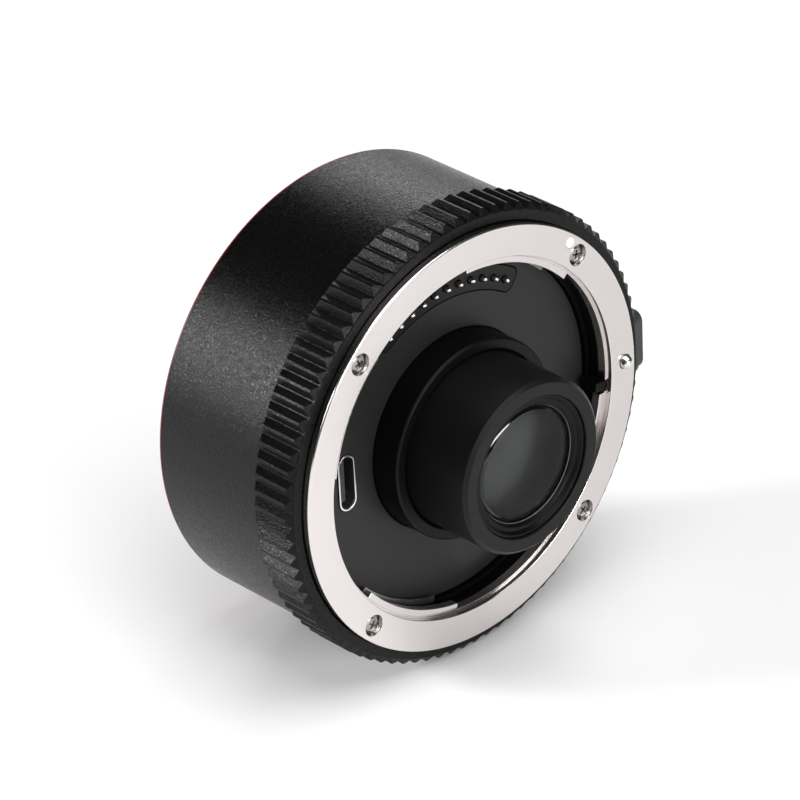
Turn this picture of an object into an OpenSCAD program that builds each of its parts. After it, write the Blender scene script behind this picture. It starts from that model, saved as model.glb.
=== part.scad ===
// Camera teleconverter: a short barrel with a lens group between a lens mount and a camera mount.
// Lengths are in millimetres. The optical axis lies along Y: the lens side faces -Y, the camera side +Y.
// Each module works in a bench frame whose z axis is the optical axis and points to the lens side,
// with z = 0 on the camera mount's face, x to the right and y up as seen from the lens side.

/* [Body] */
// Distance between the two mount faces
flange_spacing = 30.3; // [29:0.1:38]
// Wall of the painted barrel
barrel_wall = 1.4; // [1.2:0.1:2]
// Gap between the lens mount ring and the barrel's inside
barrel_gap = 0.2; // [0.15:0.05:0.4]
// Height of the barrel's rear edge over the camera mount's face
rear_step = 1; // [0.6:0.1:1.6]
// Width of the coloured ring at the rear edge
accent_w = 0.25; // [0.2:0.05:0.8]

/* [Grip] */
// Length of the ribbed grip along the axis
grip_len = 7.8; // [7.4:0.1:8.4]
// Distance of the grip's front face behind the lens mount's face
grip_setback = 1.3; // [1:0.1:1.6]
// Height of the rib tips over the barrel
grip_rise = 1; // [0.8:0.1:1.6]
// Number of ribs round the grip
rib_count = 90; // [60:1:100]
// Depth of the grooves between the ribs
groove_depth = 0.95; // [0.5:0.05:1.1]
// Width of a groove at the rib tips
groove_w = 2; // [1:0.1:2.2]
// Length of the ribs' slope at the rear end
rib_rear_slope = 0.75; // [0.4:0.05:1.2]
// Length of the ribs' slope at the front end
rib_front_slope = 0.5; // [0.3:0.05:0.8]

/* [Lens mount] */
// Radius of the mount's opening
throat_r = 27.5; // [26.5:0.1:29]
// Width of the mount ring's face
ring_w = 4.8; // [4.7:0.1:6]
// Thickness of the mount ring
ring_t = 2.4; // [2.2:0.1:2.8]
// Reach of the bayonet tabs into the opening
tab_reach = 1.3; // [1.1:0.1:1.5]
// Depth of the tabs' front faces behind the mount's face
tab_setback = 1; // [0.8:0.1:1.2]
// Depth of the black plate at the bottom of the mount
mount_depth = 5; // [4.8:0.1:6]
// Radius of the mounting screws' heads
screw_head_r = 1.45; // [1.3:0.05:1.5]
// Radius of the white mounting marks
dot_r = 0.8; // [0.6:0.05:0.85]

/* [Contacts] */
// Angle between neighbouring contacts
contact_pitch = 6.05; // [5.6:0.05:6.1]
// Distance of the contacts' circle inside the mount's opening
contact_inset = 4.9; // [4.7:0.1:5.2]
// Radius of a contact pin
pin_r = 0.4; // [0.3:0.02:0.44]
// Height of the pin tips over the black plate
pin_rise = 0.95; // [0.85:0.05:1.1]
// Travel of a contact pin
pin_travel = 0.7; // [0.4:0.05:0.8]

/* [Charging socket] */
// Long side of the socket's metal shell
usb_w = 8.94; // [8.8:0.02:9.1]
// Short side of the socket's metal shell
usb_h = 3.26; // [3.1:0.02:3.4]
// Distance of the socket's centre inside the mount's opening
usb_inset = 7; // [6.6:0.1:7.4]

/* [Optics] */
// Radius of the protruding optics barrel
nose_r = 13.25; // [13:0.05:13.5]
// Reach of the optics barrel in front of the lens mount's face
nose_reach = 11.3; // [10:0.1:16]
// Wall of the optics barrel
nose_wall = 2.45; // [2.3:0.05:2.8]
// Wall of the wide base round the optics barrel
base_wall = 2; // [1.8:0.1:2.6]
// Width of the ring that holds the front glass
retainer_w = 1.9; // [1.6:0.1:2.4]
// Wall of the rear lens tube
tube_wall = 1.7; // [1.4:0.1:2]

/* [Release] */
// Radius of the locking pin
lock_pin_r = 1.05; // [0.9:0.05:1.1]
// Height of the locking pin over the lens mount's face
lock_rise = 1.2; // [0.8:0.1:1.25]
// Travel of the release button and of the locking pin
release_travel = 1.3; // [1.25:0.05:1.4]
// Length of the button round the barrel
button_w = 9.4; // [9:0.1:10.5]
// Width of the button along the axis
button_h = 4.8; // [4.4:0.1:5.2]
// Height of the button over its frame
button_rise = 1.65; // [1.35:0.05:2]

/* [Camera mount] */
// Length of the rear bayonet behind the camera mount's face
spigot_len = 5.5; // [5:0.1:6.5]
// Wall of the rear bayonet
spigot_wall = 1.6; // [1.4:0.1:1.8]
// Thickness of the rear bayonet's tabs
male_tab_t = 1.2; // [1:0.1:1.4]
// Clearance of the rear bayonet in a camera of the same mount
bayonet_gap = 0.3; // [0.2:0.05:0.4]

/* [Hidden] */

$fn = 144;
eps = 0.01;
// Clearance of round pieces that sit in each other
fit_gap = 0.05;
// Clearance of pieces that are dropped into a pocket
drop_gap = 0.15;
// Clearance round pieces that slide
slide_gap = 0.1;

// Heights on the axis, from the camera mount's face
front_z = flange_spacing;
ring_back_z = front_z - ring_t;
plate_z = front_z - mount_depth;
plate_t = 1.2;
plate_back_z = plate_z - plate_t;

// Radii of the shell, from the mount's opening outwards
mount_r = throat_r + ring_w;
barrel_in_r = mount_r + barrel_gap;
barrel_r = barrel_in_r + barrel_wall;
seat_step = 0.5;
seat_r = barrel_r - seat_step;
grip_r = barrel_r + grip_rise;
frame_r = barrel_in_r - fit_gap;
base_r = nose_r + fit_gap + base_wall;

// Grip sleeve
grip_front_z = front_z - grip_setback;
grip_back_z = grip_front_z - grip_len;
grip_lip_t = 0.8;
groove_floor_share = 0.1;
// Rim of the sleeve over the groove floors, and the plain collar in front of the ribs
rib_foot = 0.05;
collar_t = 0.2;
collar_edge = 0.4;
button_inset = 3.5;
button_z = grip_front_z - button_inset;
barrel_front_z = grip_front_z - grip_lip_t;
barrel_back_z = rear_step + accent_w;

// Lens mount ring
ring_chamfer = 0.2;
ledge_w = 0.35;
tab_r = throat_r - tab_reach;
tab_starts = [42.5, 130, 219, 309];
tab_widths = [46.6, 40, 42.3, 42];
screw_angles = [45, 135, 225, 315];
screw_inset = 2.5;
screw_circle_r = throat_r + screw_inset;
screw_sink = 0.3;
screw_head_t = 1;
head_gap = 0.2;
screw_hole_r = screw_head_r + head_gap;
screw_shank_r = 0.8;
screw_len = 4;
// Shares of a screw head's radius: its slanted edge, and length and width of its cross
head_edge = 0.3;
cross_len = 1.3;
cross_w = 0.32;
dot_inset = 3.45;
dot_circle_r = throat_r + dot_inset;
index_angle = 50.2;
rear_index_angle = 70;
dot_t = 0.2;

// Mount's wall, spring seat and plate seat in the front frame
wall_inset = 0.3;
wall_r = throat_r - wall_inset;
wall_step = 0.6;
spring_seat_h = 0.7;
spring_seat_z = plate_z + spring_seat_h;
spring_t = 0.3;
spring_w = 1.35;
spring_margin = 4;
plate_gap = 0.2;
plate_r = wall_r - wall_step - plate_gap;
plate_seat_w = 1;
plate_seat_r = plate_r - plate_seat_w;
plate_seat_t = 1.2;
stop_angle = 352;
stop_width = 3.2;
stop_play = 0.3;
stop_w = 1.8;

// Bulkhead and electronics behind the plate
board_t = 1;
board_gap = 6;
board_z = plate_back_z - board_gap;
boss_t = 1;
bulkhead_z = board_z - board_t - boss_t;
bulkhead_t = 1.8;
frame_back_z = bulkhead_z - bulkhead_t;
seat_ledge_w = 1.6;
frame_bore_r = plate_seat_r + seat_ledge_w;
board_edge_gap = 0.2;
board_bore_gap = 0.9;
board_r = plate_seat_r - board_edge_gap;
board_in_r = base_r + board_bore_gap;
board_angles = [30, 150, 270];
board_screw_r = 0.6;
board_head_r = 1.2;
board_head_t = 0.6;
board_thread = 1;
board_boss_r = 1.6;
board_hold_inset = 2;
board_hold_r = board_r - board_hold_inset;
chip_w = 5;
chip_t = 1;
chip_angle = 225;
flex_w = 8;
flex_t = 0.25;
flex_slot = 0.6;

// Contacts, as many as the contact pins named above
contact_count = 11;
contact_r = throat_r - contact_inset;
contact_mid = 90;
block_w = 3.5;
block_t = 4;
block_flange = 0.8;
block_end = 5.2;
block_half = (contact_count - 1) / 2 * contact_pitch + block_end;
sleeve_wall = 0.25;
sleeve_in_r = pin_r + slide_gap;
sleeve_r = sleeve_in_r + sleeve_wall;
sleeve_drop = 0.6;
sleeve_floor = 0.4;
pin_hole_gap = 0.2;
pin_hole_r = pin_r + pin_hole_gap;
shoulder_gap = 0.04;
pin_shoulder_r = sleeve_in_r - shoulder_gap;
pin_shoulder_t = 0.8;
contact_wire = 0.16;
contact_coil_gap = 0.06;
contact_coil_r = sleeve_in_r - contact_wire / 2 - contact_coil_gap;
pressed_spring = 2.7;
spring_floor_z = board_z + sleeve_floor;
pin_tail_end_z = spring_floor_z + pressed_spring + pin_travel;

// Charging socket
usb_r = throat_r - usb_inset;
usb_wall = 0.32;
usb_proud = 0.2;
usb_floor = 1.5;
usb_len = plate_z + usb_proud - board_z;
tongue_w = 6.7;
tongue_t = 0.7;
tongue_drop = 0.8;

// Optics, inwards from the optics barrel
base_setback = 0.2;
base_front_z = front_z - base_setback;
base_groove = 0.45;
base_chamfer = 0.3;
nose_depth = 7.2;
nose_seat_z = front_z - nose_depth;
nose_front_z = front_z + nose_reach;
nose_round = 0.9;
nose_bore_r = nose_r - nose_wall;
front_glass_r = nose_bore_r - retainer_w;
nose_lip_t = 1.6;
base_bore_step = 0.8;
base_bore_r = nose_bore_r + base_bore_step;
nose_glass_r = nose_bore_r - drop_gap;
glass_rim_w = 1.85;
clear_r = nose_glass_r - glass_rim_w;
retainer_sink = 0.4;
retainer_t = 1.3;
retainer_rim = 0.4;
retainer_step = 0.5;
retainer_edge = 0.3;
glass_1_z = nose_front_z - retainer_sink - retainer_t;
glass_1_t = 2.8;
glass_1_gap = 0.1;
glass_1_clear_r = min(clear_r, front_glass_r - glass_1_gap);
glass_2_lead = 4.2;
glass_2_z = front_z + glass_2_lead;
glass_2_t = 1.8;
glass_3_z = base_front_z;
glass_3_t = 2.2;
cement = 0.05;
// Heights of the glass surfaces' domes, front and back of each glass
sag_1 = [0.8, 0.4];
sag_2 = [-0.4, -0.6];
sag_3 = [0.7, 0.6];
sag_4 = [-0.62, -0.5];
sag_5 = [-0.5, -0.5];
sag_6 = [0.7, 0.5];
sag_7 = [-0.52, 0.4];
glass_4_z = glass_3_z - glass_3_t - cement;
glass_4_end = nose_seat_z + nose_lip_t;
spacer_wall = 1.35;

optics_screw_r = 0.7;
optics_head_r = 1.1;
tube_head_gap = 0.45;
optics_hold_r = (base_r + base_bore_r) / 2;
rear_tube_r = optics_hold_r - optics_head_r - tube_head_gap;
tube_bore_r = rear_tube_r - tube_wall;
tube_glass_r = tube_bore_r - drop_gap;
tube_rim_w = 1.25;
tube_view_gap = 0.1;
tube_clear_r = tube_glass_r - tube_rim_w;
tube_view_r = tube_clear_r - tube_view_gap;
tube_flange_t = 1.4;
tube_flange_gap = 0.1;
tube_flange_r = base_r - tube_flange_gap;
tube_back_z = -3.6;
optics_head_t = 0.8;
optics_thread = 3.5;
optics_angles = [30, 150, 270];
glass_5_z = frame_back_z - tube_flange_t;
glass_5_t = 2.3;
glass_6_z = 6.4;
glass_6_t = 3;
glass_7_z = glass_6_z - glass_6_t - cement;
glass_7_t = 2.4;
glass_7_back_z = glass_7_z - glass_7_t;
rear_retainer_t = 1.2;

// Release: the button's fork straddles the pin and its slanted face pushes the pin's crossbar back
lock_inset = 2.8;
lock_x = throat_r + lock_inset;
pocket_reach = 1.8;
pocket_x = lock_x - pocket_reach;
pocket_half = 4.8;
bezel_rim = 0.5;
bezel_rise = 0.2;
bezel_top = grip_r + bezel_rise;
button_top = bezel_top + button_rise;
button_floor_gap = 0.25;
button_bottom = seat_r + release_travel + button_floor_gap;
button_corner = 1.6;
button_edge = 0.35;
stem_half = 3.2;
stem_gap = 0.2;
stem_step = 1;
stem_h = button_h - stem_step;
shoulder_half = 4.4;
shoulder_reach = 1.2;
shoulder_x = lock_x + shoulder_reach;
fork_clear = 0.3;
fork_gap = lock_pin_r + fork_clear;
fork_half = 2.5;
fork_end = shoulder_x + release_travel + slide_gap;
wedge_drop = 1.2;
wedge_z = button_z - wedge_drop;
wedge_gap = 0.15;
bar_half_x = 1.1;
bar_t = 2.4;
bar_back_z = wedge_z - bar_t;
tail_lift = 0.8;
pin_tail_z = frame_back_z + tail_lift;
lock_hole_r = lock_pin_r + slide_gap;
lock_wire = 0.4;
lock_coil_gap = 0.3;
lock_coil_r = lock_pin_r + lock_coil_gap;
button_wire = 0.3;
button_coil_r = 0.7;
button_spring_y = 3.6;

// Camera mount
rear_seat_z = 2.5;
rear_frame_t = 2;
rear_frame_z = rear_seat_z + rear_frame_t;
rear_flange_edge = 1.6;
rear_flange_r = lock_x + rear_flange_edge;
barrel_lip_r = rear_flange_r + drop_gap;
spigot_r = tab_r - bayonet_gap;
spigot_in_r = spigot_r - spigot_wall;
male_tab_r = throat_r - bayonet_gap;
tab_play = 0.1;
male_tab_z = -ring_t - tab_play;
male_tab_margin = 2;
spigot_edge = 0.3;
rear_screw_inset = 2.9;
rear_screw_r = spigot_r + rear_screw_inset;
rear_thread = 0.8;
rear_screw_len = rear_frame_t + rear_thread;
recess_gap = 0.2;
recess_r = lock_pin_r + recess_gap;
recess_depth = 2;
rear_block_z = -4.4;
pad_len = 2.2;
pad_w = 1.2;
pad_t = 0.2;
cover_z = -2;
cover_t = 1.2;
cover_skirt = 0.9;
cover_notch_gap = 1;
tube_hole_gap = 0.2;
tube_hole_r = rear_tube_r + tube_hole_gap;
post_r = 1.8;
post_inset = 0.5;
post_circle_r = lock_x - post_inset;
post_angles = [75, 195, 285];
barrel_screw_angles = [90, 210, 330];
barrel_screw_r = 0.9;
barrel_screw_len = 3.8;
barrel_screw_sink = 0.1;
screw_slot_w = 0.3;
screw_slot_t = 0.4;
barrel_screw_z = button_z;

// Turns the bench frame into the part's own frame
module bench() {
    rotate([90, 0, 0]) children();
}

module ring(r_in, r_out, z_low, z_high) {
    rotate_extrude() translate([r_in, z_low]) square([r_out - r_in, z_high - z_low]);
}

module arc_ring(r_in, r_out, z_low, z_high, start, width) {
    rotate([0, 0, start]) rotate_extrude(angle = width)
        translate([r_in, z_low]) square([r_out - r_in, z_high - z_low]);
}

module on_circle(r, angles) {
    for (a = angles) rotate([0, 0, a]) translate([r, 0, 0]) children();
}

function contact_angle(i) = contact_mid + (i - (contact_count + 1) / 2) * -contact_pitch;

contact_angles = [for (i = [1 : contact_count]) contact_angle(i)];

module rounded_slab(length, width, corner, t) {
    linear_extrude(t) {
        square([length - 2 * corner, width], center = true);
        square([length, width - 2 * corner], center = true);
        for (x = [-1, 1], y = [-1, 1])
            translate([x * (length / 2 - corner), y * (width / 2 - corner)]) circle(corner);
    }
}

// Slot with round ends, the long side along y
module slot_slab(length, width, t) {
    linear_extrude(t) {
        square([width, length - width], center = true);
        for (y = [-1, 1]) translate([0, y * (length - width) / 2]) circle(width / 2);
    }
}

// Arc-shaped slab with round ends, on the contacts' circle
module contact_arc(width, z_low, z_high) {
    end = asin(width / 2 / contact_r);
    arc_ring(contact_r - width / 2, contact_r + width / 2, z_low, z_high,
        contact_mid - block_half + end, 2 * (block_half - end));
    for (s = [-1, 1]) rotate([0, 0, contact_mid + s * (block_half - end)])
        translate([contact_r, 0, z_low]) cylinder(r = width / 2, h = z_high - z_low);
}

// Cross-head screw that points down, with its head's top at z = 0
module cross_screw(head_r, head_t, shank_r, length) {
    edge = head_r * head_edge;
    difference() {
        union() {
            translate([0, 0, -edge]) cylinder(r1 = head_r, r2 = head_r - edge, h = edge);
            translate([0, 0, -head_t]) cylinder(r = head_r, h = head_t - edge);
            translate([0, 0, -head_t - length]) cylinder(r = shank_r, h = length + eps);
        }
        for (a = [0, 90]) rotate([0, 0, a])
            translate([0, 0, -head_t / 4])
                cube([head_r * cross_len, head_r * cross_w, head_t / 2 + eps], center = true);
    }
}

function cap_radius(r, sag) = (r * r + sag * sag) / (2 * sag);

// Round glass with a flat rim. A positive sag bulges outwards, a negative one is hollow.
module glass(rim_r, z_low, z_high, open_r, sags) {
    front_sag = sags[0];
    back_sag = sags[1];
    front_ball = cap_radius(open_r, abs(front_sag));
    back_ball = cap_radius(open_r, abs(back_sag));
    difference() {
        union() {
            translate([0, 0, z_low]) cylinder(r = rim_r, h = z_high - z_low);
            if (front_sag > 0) intersection() {
                translate([0, 0, z_high + front_sag - front_ball]) sphere(front_ball, $fn = 360);
                translate([0, 0, z_high - eps]) cylinder(r = open_r, h = front_sag + 1);
            }
            if (back_sag > 0) intersection() {
                translate([0, 0, z_low - back_sag + back_ball]) sphere(back_ball, $fn = 360);
                translate([0, 0, z_low - back_sag - 1]) cylinder(r = open_r, h = back_sag + 1 + eps);
            }
        }
        if (front_sag < 0) translate([0, 0, z_high + front_sag + front_ball]) sphere(front_ball, $fn = 360);
        if (back_sag < 0) translate([0, 0, z_low - back_sag - back_ball]) sphere(back_ball, $fn = 360);
    }
}

// Coil spring along z as one unbroken tube
module coil_spring(mid_r, wire, z_low, z_high, turns, steps, sides) {
    rings = turns * steps;
    rise = z_high - z_low - wire;
    points = [for (i = [0 : rings], k = [0 : sides - 1])
        let (turn = 360 * i / steps, side = 360 * k / sides, r = mid_r + wire / 2 * cos(side))
        [r * cos(turn), r * sin(turn), z_low + wire / 2 + rise * i / rings + wire / 2 * sin(side)]];
    walls = [for (i = [0 : rings - 1], k = [0 : sides - 1], half = [0, 1])
        let (next = (k + 1) % sides, a = i * sides, b = a + sides)
        half == 0 ? [a + k, b + k, b + next] : [a + k, b + next, a + next]];
    start_cap = [for (k = [1 : sides - 2]) [0, k, k + 1]];
    end_cap = [for (k = [1 : sides - 2]) [rings * sides, rings * sides + k + 1, rings * sides + k]];
    polyhedron(points, concat(walls, start_cap, end_cap));
}

// One straight groove between two ribs
module grip_groove() {
    tip = grip_r + eps;
    floor_r = grip_r - groove_depth;
    floor_half = groove_w * groove_floor_share / 2;
    translate([0, 0, grip_back_z - 1]) linear_extrude(grip_len + 2)
        polygon([[floor_r, -floor_half], [tip, -groove_w / 2], [tip, groove_w / 2], [floor_r, floor_half]]);
}

// Opening for the button's frame, seen from the side
module button_window(grow, corner, x_low, x_high) {
    translate([x_low, 0, button_z]) rotate([0, 90, 0])
        rounded_slab(button_h + 2 * grow, button_w + 2 * grow, corner + grow, x_high - x_low);
}

module barrel_shell() {
    color("#17181a") bench() difference() {
        rotate_extrude() polygon([
            [barrel_lip_r, barrel_back_z], [barrel_r, barrel_back_z], [barrel_r, grip_back_z],
            [seat_r, grip_back_z], [seat_r, barrel_front_z], [barrel_in_r, barrel_front_z],
            [barrel_in_r, rear_seat_z], [barrel_lip_r, rear_seat_z]]);
        translate([barrel_in_r - 1, -stem_half - stem_gap, button_z - stem_h / 2 - stem_gap])
            cube([barrel_wall + 2, 2 * (stem_half + stem_gap), stem_h + 2 * stem_gap]);
        for (a = barrel_screw_angles) rotate([0, 0, a]) translate([barrel_in_r - 1, 0, barrel_screw_z])
            rotate([0, 90, 0]) cylinder(r = barrel_screw_r + fit_gap, h = barrel_wall + 2);
    }
}

module grip_sleeve() {
    foot_r = grip_r - groove_depth + rib_foot;
    foot_z = grip_front_z - collar_t;
    color("#1b1b1c") bench() difference() {
        rotate_extrude() polygon([
            [seat_r + fit_gap, grip_back_z], [foot_r, grip_back_z], [grip_r, grip_back_z + rib_rear_slope],
            [grip_r, foot_z - rib_front_slope], [foot_r, foot_z], [foot_r - collar_edge, grip_front_z],
            [barrel_in_r, grip_front_z], [barrel_in_r, barrel_front_z], [seat_r + fit_gap, barrel_front_z]]);
        for (i = [0 : rib_count - 1]) rotate([0, 0, i * 360 / rib_count]) grip_groove();
        button_window(bezel_rim + slide_gap, button_corner, barrel_in_r - 1, grip_r + 2);
    }
}

module accent_ring() {
    color("#a51d22") bench() ring(barrel_lip_r, barrel_r, rear_step, rear_step + accent_w);
}

module lens_mount_ring() {
    color("#d9d6d4") bench() difference() {
        union() {
            rotate_extrude() polygon([
                [throat_r - ledge_w, ring_back_z], [mount_r, ring_back_z], [mount_r, front_z - ring_chamfer],
                [mount_r - ring_chamfer, front_z], [throat_r + ring_chamfer / 2, front_z],
                [throat_r, front_z - ring_chamfer / 2], [throat_r, front_z - tab_setback],
                [throat_r - ledge_w, front_z - tab_setback]]);
            for (i = [0 : len(tab_starts) - 1])
                arc_ring(tab_r, throat_r - ledge_w / 2, ring_back_z, front_z - tab_setback,
                    tab_starts[i], tab_widths[i]);
        }
        on_circle(screw_circle_r, screw_angles) {
            translate([0, 0, front_z - screw_sink - screw_head_t]) cylinder(r = screw_hole_r, h = ring_t);
            translate([0, 0, ring_back_z - 1]) cylinder(r = screw_shank_r + slide_gap, h = ring_t);
        }
        translate([lock_x, 0, ring_back_z - 1]) cylinder(r = lock_hole_r, h = ring_t + 2);
        arc_ring(tab_r, throat_r + fit_gap, ring_back_z - 1, front_z - tab_setback + fit_gap,
            stop_angle - stop_play, stop_width + 2 * stop_play);
        on_circle(dot_circle_r, [index_angle])
            translate([0, 0, front_z - dot_t]) cylinder(r = dot_r + fit_gap, h = 1);
    }
}

module lens_mount_screws() {
    color("#b9b6b2") bench() on_circle(screw_circle_r, screw_angles) translate([0, 0, front_z - screw_sink])
        cross_screw(screw_head_r, screw_head_t, screw_shank_r, screw_len);
}

module index_dots() {
    color("white") bench() {
        on_circle(dot_circle_r, [index_angle])
            translate([0, 0, front_z - dot_t]) cylinder(r = dot_r, h = dot_t);
        on_circle(rear_screw_r, [rear_index_angle]) cylinder(r = dot_r, h = dot_t);
    }
}

module bayonet_springs() {
    color("#2a2a2b") bench() for (i = [0 : len(tab_starts) - 1])
        arc_ring(wall_r - fit_gap - spring_w, wall_r - fit_gap, spring_seat_z, spring_seat_z + spring_t,
            tab_starts[i] + spring_margin, tab_widths[i] - 2 * spring_margin);
}

module rotation_stop() {
    out_r = wall_r - fit_gap;
    top_z = front_z - tab_setback - fit_gap;
    color("#101010") bench() {
        arc_ring(out_r - stop_w, out_r, spring_seat_z, top_z, stop_angle, stop_width);
        arc_ring(out_r - stop_w, throat_r - fit_gap, ring_back_z + fit_gap, top_z, stop_angle, stop_width);
    }
}

module front_frame() {
    color("#151515") bench() difference() {
        union() {
            rotate_extrude() polygon([
                [wall_r, ring_back_z], [frame_r, ring_back_z], [frame_r, frame_back_z],
                [base_bore_r, frame_back_z], [base_bore_r, bulkhead_z], [frame_bore_r, bulkhead_z],
                [frame_bore_r, plate_back_z - plate_seat_t], [plate_seat_r, plate_back_z - plate_seat_t],
                [plate_seat_r, plate_back_z], [wall_r - wall_step, plate_back_z],
                [wall_r - wall_step, spring_seat_z], [wall_r, spring_seat_z]]);
            on_circle(board_hold_r, board_angles)
                translate([0, 0, bulkhead_z - eps]) cylinder(r = board_boss_r, h = boss_t + eps);
        }
        on_circle(screw_circle_r, screw_angles) translate([0, 0, ring_back_z - screw_len])
            cylinder(r = screw_shank_r + fit_gap, h = screw_len + 1);
        translate([pocket_x, -pocket_half, bulkhead_z])
            cube([frame_r, 2 * pocket_half, ring_back_z - bulkhead_z + 1]);
        translate([lock_x, 0, frame_back_z - 1]) cylinder(r = lock_hole_r, h = bulkhead_t + 2);
        on_circle(board_hold_r, board_angles) translate([0, 0, frame_back_z - 1])
            cylinder(r = board_screw_r + fit_gap, h = boss_t + bulkhead_t + 2);
        on_circle(optics_hold_r, optics_angles) translate([0, 0, frame_back_z - 1])
            cylinder(r = optics_screw_r + fit_gap, h = bulkhead_t + 2);
        translate([-flex_w / 2 - flex_slot, contact_r - flex_slot, frame_back_z - 1])
            cube([flex_w + 2 * flex_slot, 2 * flex_slot, bulkhead_t + 2]);
        for (a = barrel_screw_angles) rotate([0, 0, a])
            translate([seat_r - barrel_screw_len, 0, barrel_screw_z]) rotate([0, 90, 0])
                cylinder(r = barrel_screw_r + fit_gap, h = barrel_screw_len + 1);
    }
}

module baffle_plate() {
    color("#232324") bench() difference() {
        ring(base_r + drop_gap, plate_r, plate_back_z, plate_z);
        contact_arc(block_w + 2 * slide_gap, plate_back_z - 1, plate_z + 1);
        translate([-usb_r, 0, plate_back_z - 1])
            slot_slab(usb_w + 2 * slide_gap, usb_h + 2 * slide_gap, plate_t + 2);
    }
}

module contact_block() {
    color("#1a1a1b") bench() difference() {
        union() {
            contact_arc(block_w, plate_z - block_t, plate_z);
            contact_arc(block_w + 2 * block_flange, plate_z - block_t, plate_back_z);
        }
        on_circle(contact_r, contact_angles) {
            translate([0, 0, plate_z - sleeve_drop - eps]) cylinder(r = pin_hole_r, h = sleeve_drop + 1);
            translate([0, 0, plate_z - block_t - 1])
                cylinder(r = sleeve_r + fit_gap, h = block_t + 1 - sleeve_drop);
        }
    }
}

// Round-ended pin with a wider tail that its spring pushes on
module contact_pin(i) {
    tip_z = plate_z + pin_rise;
    color("#c9ab68") bench() rotate([0, 0, contact_angle(i)]) translate([contact_r, 0, 0]) {
        translate([0, 0, tip_z - pin_r]) sphere(pin_r);
        translate([0, 0, pin_tail_end_z]) cylinder(r = pin_r, h = tip_z - pin_r - pin_tail_end_z);
        translate([0, 0, pin_tail_end_z]) cylinder(r = pin_shoulder_r, h = pin_shoulder_t);
    }
}

module contact_sleeves() {
    color("#b08d4a") bench() on_circle(contact_r, contact_angles) difference() {
        translate([0, 0, board_z]) cylinder(r = sleeve_r, h = plate_z - sleeve_drop - board_z);
        translate([0, 0, spring_floor_z]) cylinder(r = sleeve_in_r, h = plate_z - spring_floor_z);
    }
}

module contact_springs() {
    color("silver") bench() on_circle(contact_r, contact_angles)
        coil_spring(contact_coil_r, contact_wire, spring_floor_z, pin_tail_end_z,
            turns = 4, steps = 6, sides = 4);
}

module usb_shell() {
    color("#c8c8c8") bench() translate([-usb_r, 0, board_z]) difference() {
        slot_slab(usb_w, usb_h, usb_len);
        translate([0, 0, -1]) slot_slab(usb_w - 2 * usb_wall, usb_h - 2 * usb_wall, usb_len + 2);
    }
}

module usb_tongue() {
    color("#3a3c3e") bench() translate([-usb_r, 0, board_z]) {
        slot_slab(usb_w - 2 * usb_wall - 2 * fit_gap, usb_h - 2 * usb_wall - 2 * fit_gap, usb_floor);
        translate([-tongue_t / 2, -tongue_w / 2, usb_floor - eps])
            cube([tongue_t, tongue_w, plate_z - tongue_drop - board_z - usb_floor]);
    }
}

module main_board() {
    color("#12552f") bench() difference() {
        ring(board_in_r, board_r, board_z - board_t, board_z);
        on_circle(board_hold_r, board_angles)
            translate([0, 0, board_z - board_t - 1])
                cylinder(r = board_screw_r + slide_gap, h = board_t + 2);
    }
}

module main_chip() {
    color("#0e0e0f") bench() rotate([0, 0, chip_angle])
        translate([(board_in_r + board_r - chip_w) / 2, -chip_w / 2, board_z])
            cube([chip_w, chip_w, chip_t]);
}

module board_screws() {
    color("silver") bench() on_circle(board_hold_r, board_angles) translate([0, 0, board_z + board_head_t])
        cross_screw(board_head_r, board_head_t, board_screw_r, board_t + boss_t + board_thread);
}

module flex_cable() {
    color("#8a5a1c") bench() translate([-flex_w / 2, contact_r - flex_t / 2, rear_seat_z])
        cube([flex_w, flex_t, board_z - board_t - rear_seat_z]);
}

module optics_base() {
    color("#161616") bench() difference() {
        rotate_extrude() polygon([
            [base_bore_r, bulkhead_z], [base_r, bulkhead_z], [base_r, base_front_z - base_chamfer],
            [base_r - base_chamfer, base_front_z], [nose_r + fit_gap + base_groove, base_front_z],
            [nose_r + fit_gap, base_front_z - base_groove], [nose_r + fit_gap, nose_seat_z],
            [base_bore_r, nose_seat_z]]);
        on_circle(optics_hold_r, optics_angles) translate([0, 0, bulkhead_z - 1])
            cylinder(r = optics_screw_r + fit_gap, h = 1.5 + optics_thread);
    }
}

module optics_screws() {
    head_z = frame_back_z - tube_flange_t;
    color("silver") bench() on_circle(optics_hold_r, optics_angles) translate([0, 0, head_z - optics_head_t])
        rotate([180, 0, 0]) cross_screw(optics_head_r, optics_head_t, optics_screw_r,
            tube_flange_t + bulkhead_t + optics_thread);
}

module nose_barrel() {
    color("#19191a") bench() rotate_extrude() {
        translate([nose_bore_r, nose_seat_z + nose_lip_t])
            square([nose_wall, nose_front_z - nose_round - nose_seat_z - nose_lip_t]);
        translate([nose_bore_r, nose_front_z - nose_round - eps])
            square([nose_wall - nose_round, nose_round + eps]);
        intersection() {
            translate([nose_r - nose_round, nose_front_z - nose_round]) circle(nose_round);
            translate([nose_r - nose_round - eps, nose_front_z - nose_round - eps]) square(nose_round + 1);
        }
        translate([nose_glass_r - spacer_wall, nose_seat_z])
            square([nose_r - nose_glass_r + spacer_wall, nose_lip_t + eps]);
    }
}

module front_retaining_ring() {
    front = nose_front_z - retainer_sink;
    color("#0d0d0d") bench() rotate_extrude() polygon([
        [front_glass_r, glass_1_z], [nose_bore_r - fit_gap, glass_1_z], [nose_bore_r - fit_gap, front],
        [nose_bore_r - retainer_rim, front], [nose_bore_r - 2 * retainer_rim, front - retainer_step],
        [front_glass_r + retainer_step, front - retainer_step], [front_glass_r, glass_1_z + retainer_edge]]);
}

module front_element() {
    color("#8fa39b", 0.6) bench()
        glass(nose_glass_r, glass_1_z - glass_1_t, glass_1_z, glass_1_clear_r, sag_1);
}

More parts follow.
